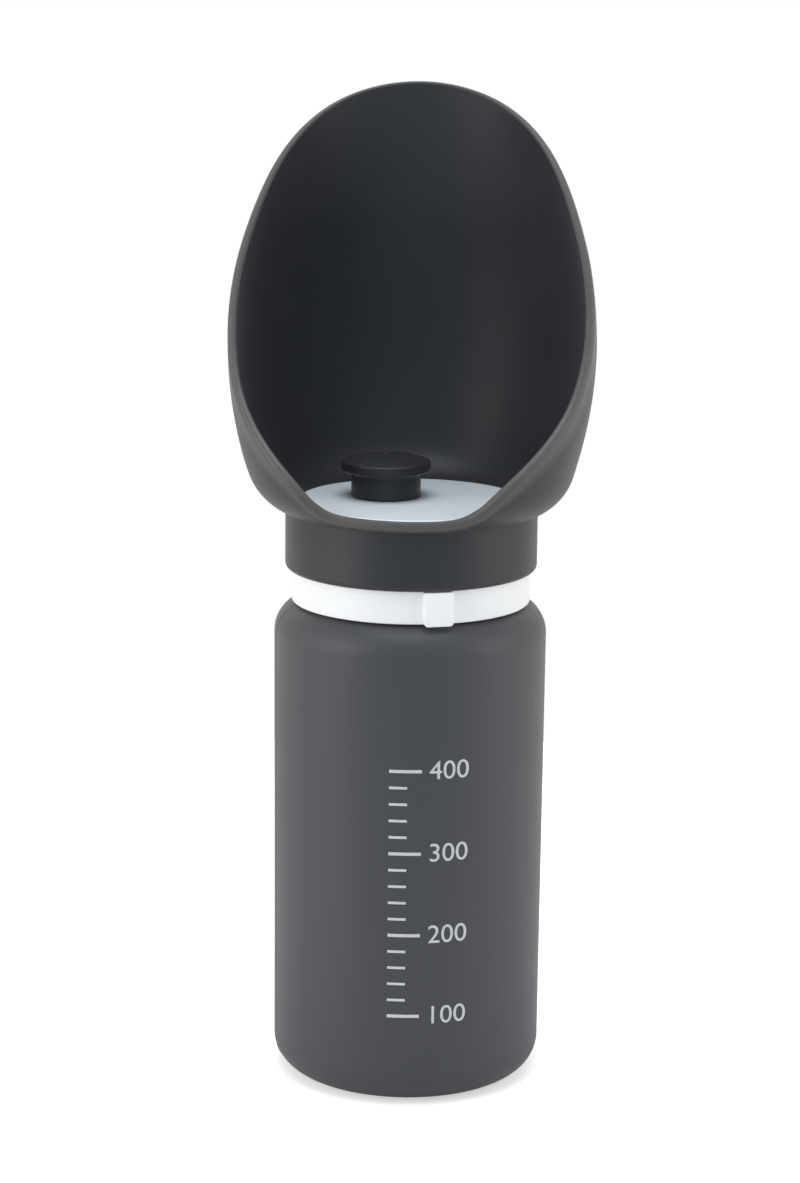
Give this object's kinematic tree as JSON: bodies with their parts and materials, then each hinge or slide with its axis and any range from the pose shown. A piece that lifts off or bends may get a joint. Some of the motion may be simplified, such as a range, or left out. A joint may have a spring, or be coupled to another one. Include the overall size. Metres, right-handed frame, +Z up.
{
  "type": "dog travel water bottle",
  "caption": "Squeeze bottle with a screw cap that carries a tall soft scoop bowl and a pull-out stopper, so a dog can drink on a walk.",
  "frame": {"origin": "middle of the flat base, on the bottle's axis", "axes": "+Z up along the bottle's axis; the bowl opens towards -Y; +X is to the right as one looks into the bowl"},
  "size_m": [0.1034, 0.093, 0.2806],
  "materials": {
    "bottle_grey": "matte soft-touch moulded polyethylene",
    "bowl_silicone": "matte moulded silicone",
    "stopper_silicone": "satin moulded silicone",
    "cap_white": "satin moulded polypropylene",
    "plate_white": "satin moulded polypropylene",
    "seal_silicone": "plain translucent silicone"
  },
  "bodies": {
    "bottle": {"bottle": "bottle_grey"},
    "seal": {"cap_seal": "seal_silicone"},
    "cap": {"screw_cap": "cap_white", "outlet_plate": "plate_white", "plate_seal": "seal_silicone"},
    "bowl": {"bowl": "bowl_silicone"},
    "stopper": {"stopper": "stopper_silicone"}
  },
  "joints": [
    {"name": "cap_lift", "type": "slide", "parent": "bottle", "child": "seal", "axis": [0, 0, 1], "range_m": [0, 0.00933]},
    {"name": "cap_turn", "type": "hinge", "parent": "seal", "child": "cap", "pos_m": [0, 0, 0.15], "axis": [0, 0, 1], "range_deg": [0, 560]},
    {"name": "bowl_turn", "type": "hinge", "parent": "cap", "child": "bowl", "pos_m": [0, 0, 0.155], "axis": [0, 0, 1], "continuous": true},
    {"name": "stopper_pull", "type": "slide", "parent": "cap", "child": "stopper", "axis": [0, 0, 1], "range_m": [0, 0.03]}
  ],
  "couplings": [
    {"joint": "cap_turn", "follows": "cap_lift", "rad_per_m": 1047.2}
  ]
}
